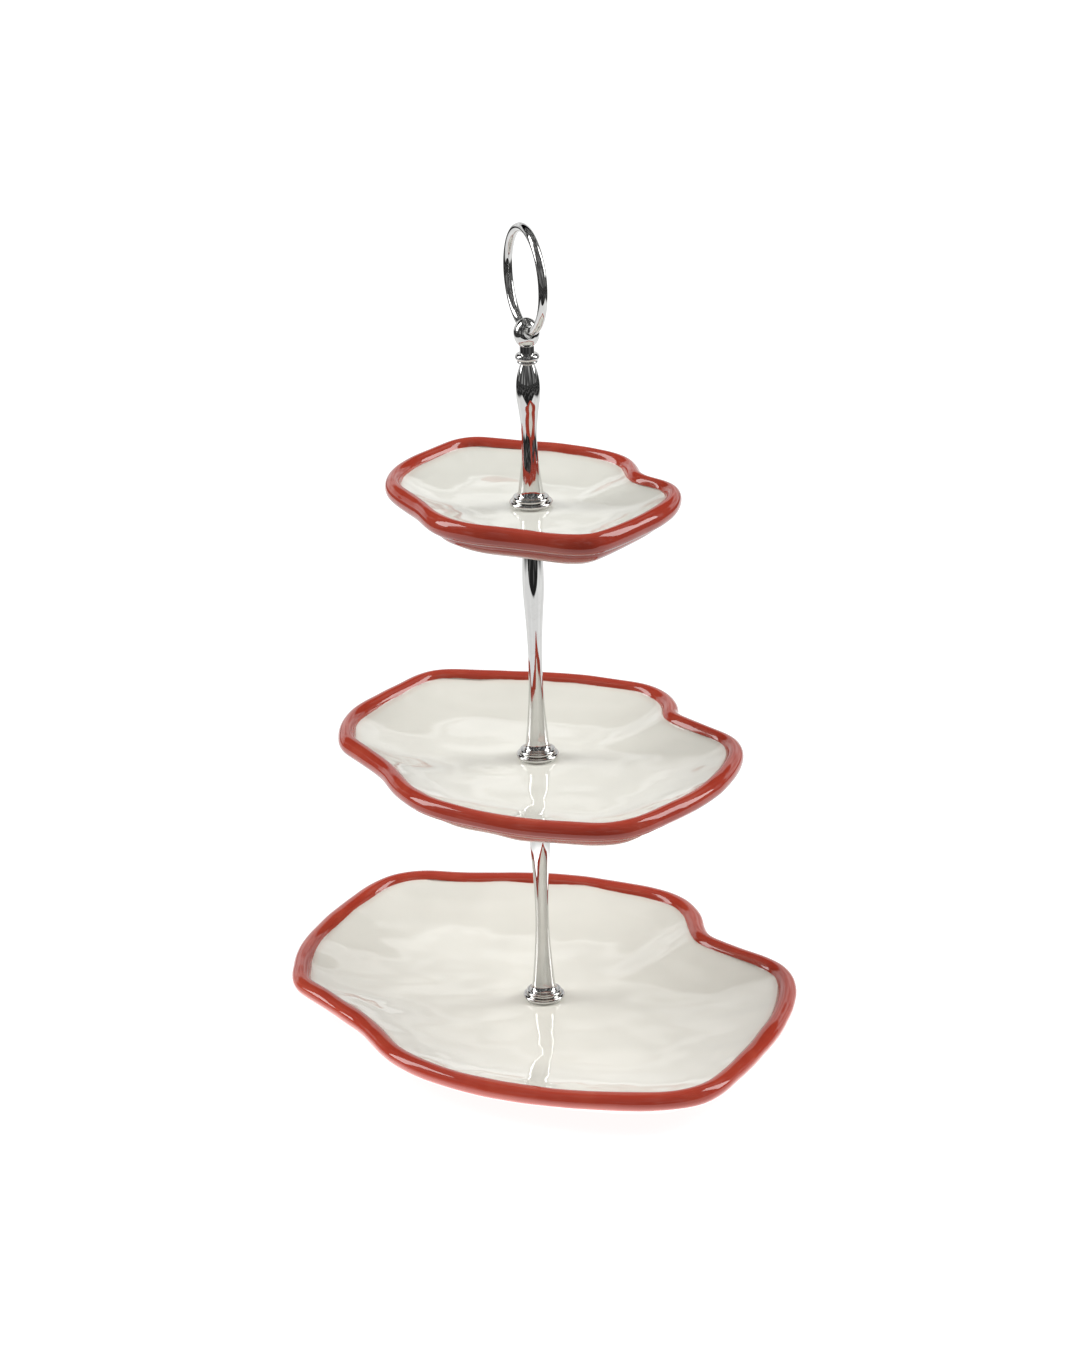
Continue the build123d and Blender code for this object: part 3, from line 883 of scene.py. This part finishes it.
                wave = noise.noise(drawn_out / marks.floor_size + here)
                dent = noise.noise(spot / marks.floor_dent_size + here * 2)
                uneven = marks.floor_share * wave + marks.floor_dent_share * dent
                points[i, j, 2] += marks.floor_wave * free * uneven


# ---------------------------------------------------------------- rod


@dataclass
class TurnedColumn:
    """One turned baluster with the step at its foot."""

    node: str
    stations: list[tuple[float, float, float]]
    step_diameter: float = 17.5 * MM
    step_thickness: float = 2.0 * MM
    bead_diameter: float = 13.6 * MM
    bead_thickness: float = 0.9 * MM
    rounding: float = 0.45  # of the step's edges, as a share of its thickness
    chamfer: float = 0.3 * MM  # at the upper end
    stretch_steps: int = 14  # between two stations
    segments: int = 128

    def build(self) -> bpy.types.Object:
        """Turn the column.

        Returns:
            The column, from the step's underside to its end.
        """
        low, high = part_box(self.node)
        step_r, shaft_z = self.step_diameter / 2, low.z + self.step_thickness
        round_r = self.step_thickness * self.rounding
        profile = [(step_r * 0.3, low.z), (step_r - 0.5 * MM, low.z)]
        profile += arc((step_r - round_r, low.z + round_r), round_r, -60, 0, 5)
        profile += arc((step_r - round_r, shaft_z - round_r), round_r, 0, 90, 8)
        bead_r = self.bead_thickness / 2
        seat = self.bead_diameter / 2 - bead_r
        profile += [(seat + 1.0 * MM, shaft_z - 0.02 * MM), (seat + 0.4 * MM, shaft_z)]
        profile += arc((seat, shaft_z + bead_r), bead_r, -50, 80, 8)
        curve = swelling(self.stations, self.stretch_steps)
        shaft = [(r, shaft_z + z) for r, z in curve]
        profile += [p for p in shaft if p[1] > shaft_z + self.bead_thickness]
        end_r = profile[-1][0]
        profile[-1] = (end_r, high.z - self.chamfer)
        profile += [(end_r - self.chamfer, high.z), (end_r * 0.5, high.z)]
        return lathe(f"{self.node}_turned", profile, self.segments)


@dataclass
class SeatWasher:
    """The loose disc of a stepped flange, with a rolled edge."""

    node: str
    hole_radius: float = 2.65 * MM
    hole_chamfer: float = 0.15 * MM
    rounding: float = 0.44  # of the outer edges, as a share of the thickness
    segments: int = 128

    def build(self) -> bpy.types.Object:
        """Turn the washer.

        Returns:
            The washer.
        """
        low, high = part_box(self.node)
        reach, middle = high.x, (low.z + high.z) / 2
        round_r = (high.z - low.z) * self.rounding
        chamfer, wider = self.hole_chamfer, self.hole_radius + self.hole_chamfer
        section = [(self.hole_radius, low.z + chamfer), (wider, low.z)]
        section += [(reach - round_r - 0.4 * MM, low.z)]
        section += arc((reach - round_r, low.z + round_r), round_r, -80, -8, 7)
        section += arc((reach - round_r, high.z - round_r), round_r, 8, 90, 8)
        section += [(reach - round_r - 0.6 * MM, high.z), (wider, high.z)]
        section += [(self.hole_radius, high.z - chamfer), (self.hole_radius, middle)]
        return lathe(f"{self.node}_rolled", section, self.segments, hollow=True)


@dataclass
class CarryRing:
    """The round wire ring through the finial's eye."""

    node: str = "carry_ring"
    wire_diameter: float = 4.3 * MM
    outer_diameter: float = 52.5 * MM
    out_of_round: float = 0.004  # at most, as a share of its radius; the ring is true at the eye
    around: int = 256
    across: int = 40

    def build(self) -> bpy.types.Object:
        """Bend the ring.

        Returns:
            The ring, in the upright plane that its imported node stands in.
        """
        low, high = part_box(self.node)
        wire = self.wire_diameter / 2
        radius = self.outer_diameter / 2 - wire
        bearing = math.atan2(-(high.y - low.y) / 2 + wire, (high.x - low.x) / 2 - wire)
        along = Vector((math.cos(bearing), math.sin(bearing), 0))
        aside = Vector((-along.y, along.x, 0))
        centre = Vector((0, 0, high.z - radius - wire))
        rows = []
        for i in range(self.around):
            a = 2 * math.pi * i / self.around
            spoke = along * math.cos(a) + Vector((0, 0, math.sin(a)))
            true = 1 + self.out_of_round * math.sin(2 * a + 0.6) * (1 + math.sin(a)) / 2
            for j in range(self.across):
                b = 2 * math.pi * j / self.across
                reach = radius * true + wire * math.cos(b)
                rows.append(centre + spoke * reach + aside * wire * math.sin(b))
        return mesh_piece("carry_ring_wire", np.array(rows), grid_faces(self.around, self.across, True))


@dataclass
class FinialWasher:
    """The thin disc between the handle column and the finial's collar."""

    node: str = "finial_washer"
    hole_radius: float = 1.75 * MM
    rounding: float = 0.42  # of the outer edges, as a share of the thickness
    segments: int = 96

    def build(self) -> bpy.types.Object:
        """Turn the washer."""
        low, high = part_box(self.node)
        reach, round_r = high.x, (high.z - low.z) * self.rounding
        section = [(self.hole_radius, low.z), (reach - round_r - 0.2 * MM, low.z)]
        section += arc((reach - round_r, low.z + round_r), round_r, -80, 0, 6)
        section += arc((reach - round_r, high.z - round_r), round_r, 5, 90, 6)
        section += [(self.hole_radius, high.z), (self.hole_radius, (low.z + high.z) / 2)]
        return lathe("finial_washer_rolled", section, self.segments, hollow=True)


# ---------------------------------------------------------------- studio


@dataclass(frozen=True)
class SoftBox:
    """A pair of soft boxes, one on each side, aimed at the middle of the stand."""

    name: str
    place: tuple[float, float, float]  # of the one on the right
    size: tuple[float, float]  # width and height
    power: float  # in watts
    mirrored: bool  # whether glaze and chrome mirror it; one that they don't only fills
    aim: tuple[float, float, float] = (0, 0, 0.2)

    def hang(self, word: str, side: int) -> None:
        """Hang one of the pair.

        Args:
            word: The side's name, which starts the light's.
            side: 1 on the right and -1 on the left.
        """
        name = f"{word}_{self.name}"
        data = bpy.data.lights.new(name, "AREA")
        data.shape = "RECTANGLE"
        data.size, data.size_y = self.size
        data.energy = self.power
        light = bpy.data.objects.new(name, data)
        light.visible_glossy = self.mirrored
        bpy.context.scene.collection.objects.link(light)
        right, back, up = self.place
        place = Vector((side * right, back, up))
        turn = (Vector(self.aim) - place).to_track_quat("-Z", "Y").to_matrix().to_4x4()
        light.matrix_world = Matrix.Translation(place) @ turn


FILL_BOXES = SoftBox("fill", (2.2, 0.4, 2.0), (1.9, 1.9), 30, mirrored=False)
BRIGHT_BOXES = SoftBox("soft_box", (2.2, 0.3, 1.55), (0.9, 2.2), 31, mirrored=True)


@dataclass
class Studio:
    """White paper sweep, soft boxes and the camera."""

    camera_place: Vector = field(default_factory=lambda: Vector((0.0021, -1.6058, 0.8305)))
    camera_pitch: float = 22.0
    camera_roll: float = -1.5
    lens: float = 96.0
    fill_light: float = 0.32
    dark_room: float = 0.05
    white_room: float = 1.0  # how the room shows past the paper's edges
    room_streaks: float = 0.42  # added to the dark room's in soft upright streaks

    def set_camera(self) -> None:
        """Place the camera and make it the scene's own."""
        data = bpy.data.cameras.new("camera")
        data.lens = self.lens
        data.sensor_width = 36.0
        data.clip_end = 50.0
        camera = bpy.data.objects.new("camera", data)
        bpy.context.scene.collection.objects.link(camera)
        tilt = Matrix.Rotation(math.radians(90 - self.camera_pitch), 4, "X")
        roll = Matrix.Rotation(math.radians(self.camera_roll), 4, "Z")
        camera.matrix_world = Matrix.Translation(self.camera_place) @ tilt @ roll
        bpy.context.scene.camera = camera

    def lay_paper(self, paper: bpy.types.Material) -> None:
        """Lay the floor and its sweep up behind the stand.

        Args:
            paper: The paper's finish.
        """
        front, back, bend, top, half = -4.0, 2.6, 0.8, 3.0, 4.0
        steps = 12
        profile = [(front, 0.0), (0.0, 0.0)]
        profile += [
            (back - bend + bend * math.sin(a), bend - bend * math.cos(a))
            for a in (math.radians(90 * k / steps) for k in range(steps + 1))
        ]
        profile += [(back, top)]
        points = [(x, y, z) for y, z in profile for x in (-half, half)]
        faces = [(2 * k, 2 * k + 1, 2 * k + 3, 2 * k + 2) for k in range(len(profile) - 1)]
        sweep = mesh_piece("paper_sweep", np.array(points), faces)
        sweep.data.materials.append(paper)

    def light(self) -> None:
        """Hang the soft boxes and dim the room."""
        world = bpy.data.worlds.new("dim_room")
        world.use_nodes = True
        tree = Tree(world.node_tree)
        background = world.node_tree.nodes["Background"]
        rays = tree.add("LightPath").outputs
        facing = tree.stretch(tree.add("TexCoord").outputs["Generated"], (1.0, 1.0, 0.2))
        streaks = tree.ramp(tree.cloud(facing, 0.16, 1.0), 0.45, 0.70)
        room = tree.math("MULTIPLY_ADD", streaks, self.room_streaks, self.dark_room)
        fill = tree.math("MULTIPLY_ADD", rays["Is Diffuse Ray"], self.fill_light, room)
        fill = tree.math("MULTIPLY_ADD", rays["Is Camera Ray"], self.white_room, fill)
        tree.feed(background, Color=(1.0, 1.0, 1.0, 1), Strength=fill)
        bpy.context.scene.world = world
        for word, side in (("left", -1), ("right", 1)):
            for boxes in (FILL_BOXES, BRIGHT_BOXES):
                boxes.hang(word, side)

    def build(self, paper: bpy.types.Material) -> None:
        """Set up the whole studio."""
        self.set_camera()
        self.lay_paper(paper)
        self.light()
        bpy.context.scene.view_settings.view_transform = "Standard"


# ---------------------------------------------------------------- the stand

LONG_SHAFT = [
    (0.0, 12.2 * MM, -0.24), (43 * MM, 6.7 * MM, 0.0), (68 * MM, 8.45 * MM, 0.13),
    (87 * MM, 10.4 * MM, 0.0), (118.1 * MM, 8.2 * MM, -0.05),
]
HANDLE_SHAFT = [
    (0.0, 12.5 * MM, -0.28), (28.5 * MM, 7.2 * MM, 0.0), (42.2 * MM, 9.4 * MM, 0.24),
    (52 * MM, 11.6 * MM, 0.0), (60 * MM, 9.7 * MM, -0.52), (65.5 * MM, 6.2 * MM, -0.75),
]


def carry_over(nodes: dict[str, bpy.types.Object], finishes: Finishes) -> None:
    """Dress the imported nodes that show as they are.

    Args:
        nodes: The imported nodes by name.
        finishes: The stand's materials.
    """
    dressed = {
        finishes.zinc: (
            "base_screw", "lower_stud", "upper_stud", "bottom_support_washer",
            "middle_support_washer", "top_support_washer",
        ),
        finishes.pad: tuple(f"{t.value}_{side}_pad" for t in Tier for side in ("upper", "lower")),
        finishes.chrome: ("eye_finial",),
    }
    for material, names in dressed.items():
        for name in names:
            for place in nodes[name].material_slots:
                place.material = material
            log.info("%s: carried over as %s", name, material.name)


def main() -> None:
    """Build the stand and its studio, piece by piece."""
    logging.basicConfig(level=logging.INFO, format="%(name)s: %(message)s")
    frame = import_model()
    finishes = Finishes()
    Studio().build(finishes.paper)

    plates = (
        StonewarePlate(
            Tier.BOTTOM, ROD_BODY, bead_half=(4.8 * MM, 4.5 * MM), rim_rise=12.4 * MM,
            floor=4.7 * MM, dish_reach=56 * MM, dish_edge=165, foot_inset=24 * MM, seed=3.1,
        ),
        StonewarePlate(
            Tier.MIDDLE, "middle_tier", bead_half=(4.3 * MM, 4.6 * MM), rim_rise=11.9 * MM,
            floor=5.4 * MM, dish_reach=42 * MM, dish_edge=165, foot_inset=18 * MM, seed=7.7,
        ),
        StonewarePlate(
            Tier.TOP, "top_tier", bead_half=(3.9 * MM, 5.0 * MM), rim_rise=11.5 * MM,
            floor=4.4 * MM, dish_reach=31 * MM, dish_edge=165, foot_inset=9.5 * MM, seed=12.9,
        ),
    )
    for plate in plates:
        settle(plate.build(), finishes.glaze, plate.body, plate.node)

    columns = (
        TurnedColumn("lower_column", LONG_SHAFT),
        TurnedColumn("middle_column", LONG_SHAFT),
        TurnedColumn("handle_column", HANDLE_SHAFT),
    )
    washers = tuple(SeatWasher(f"{tier.value}_seat_washer") for tier in Tier)
    for part in (*columns, *washers, FinialWasher()):
        settle(part.build(), finishes.chrome, ROD_BODY, part.node)
    ring = CarryRing()
    settle(ring.build(), finishes.chrome, RING_BODY, ring.node)
    carry_over(frame["nodes"], finishes)


if __name__ == "__main__":
    main()
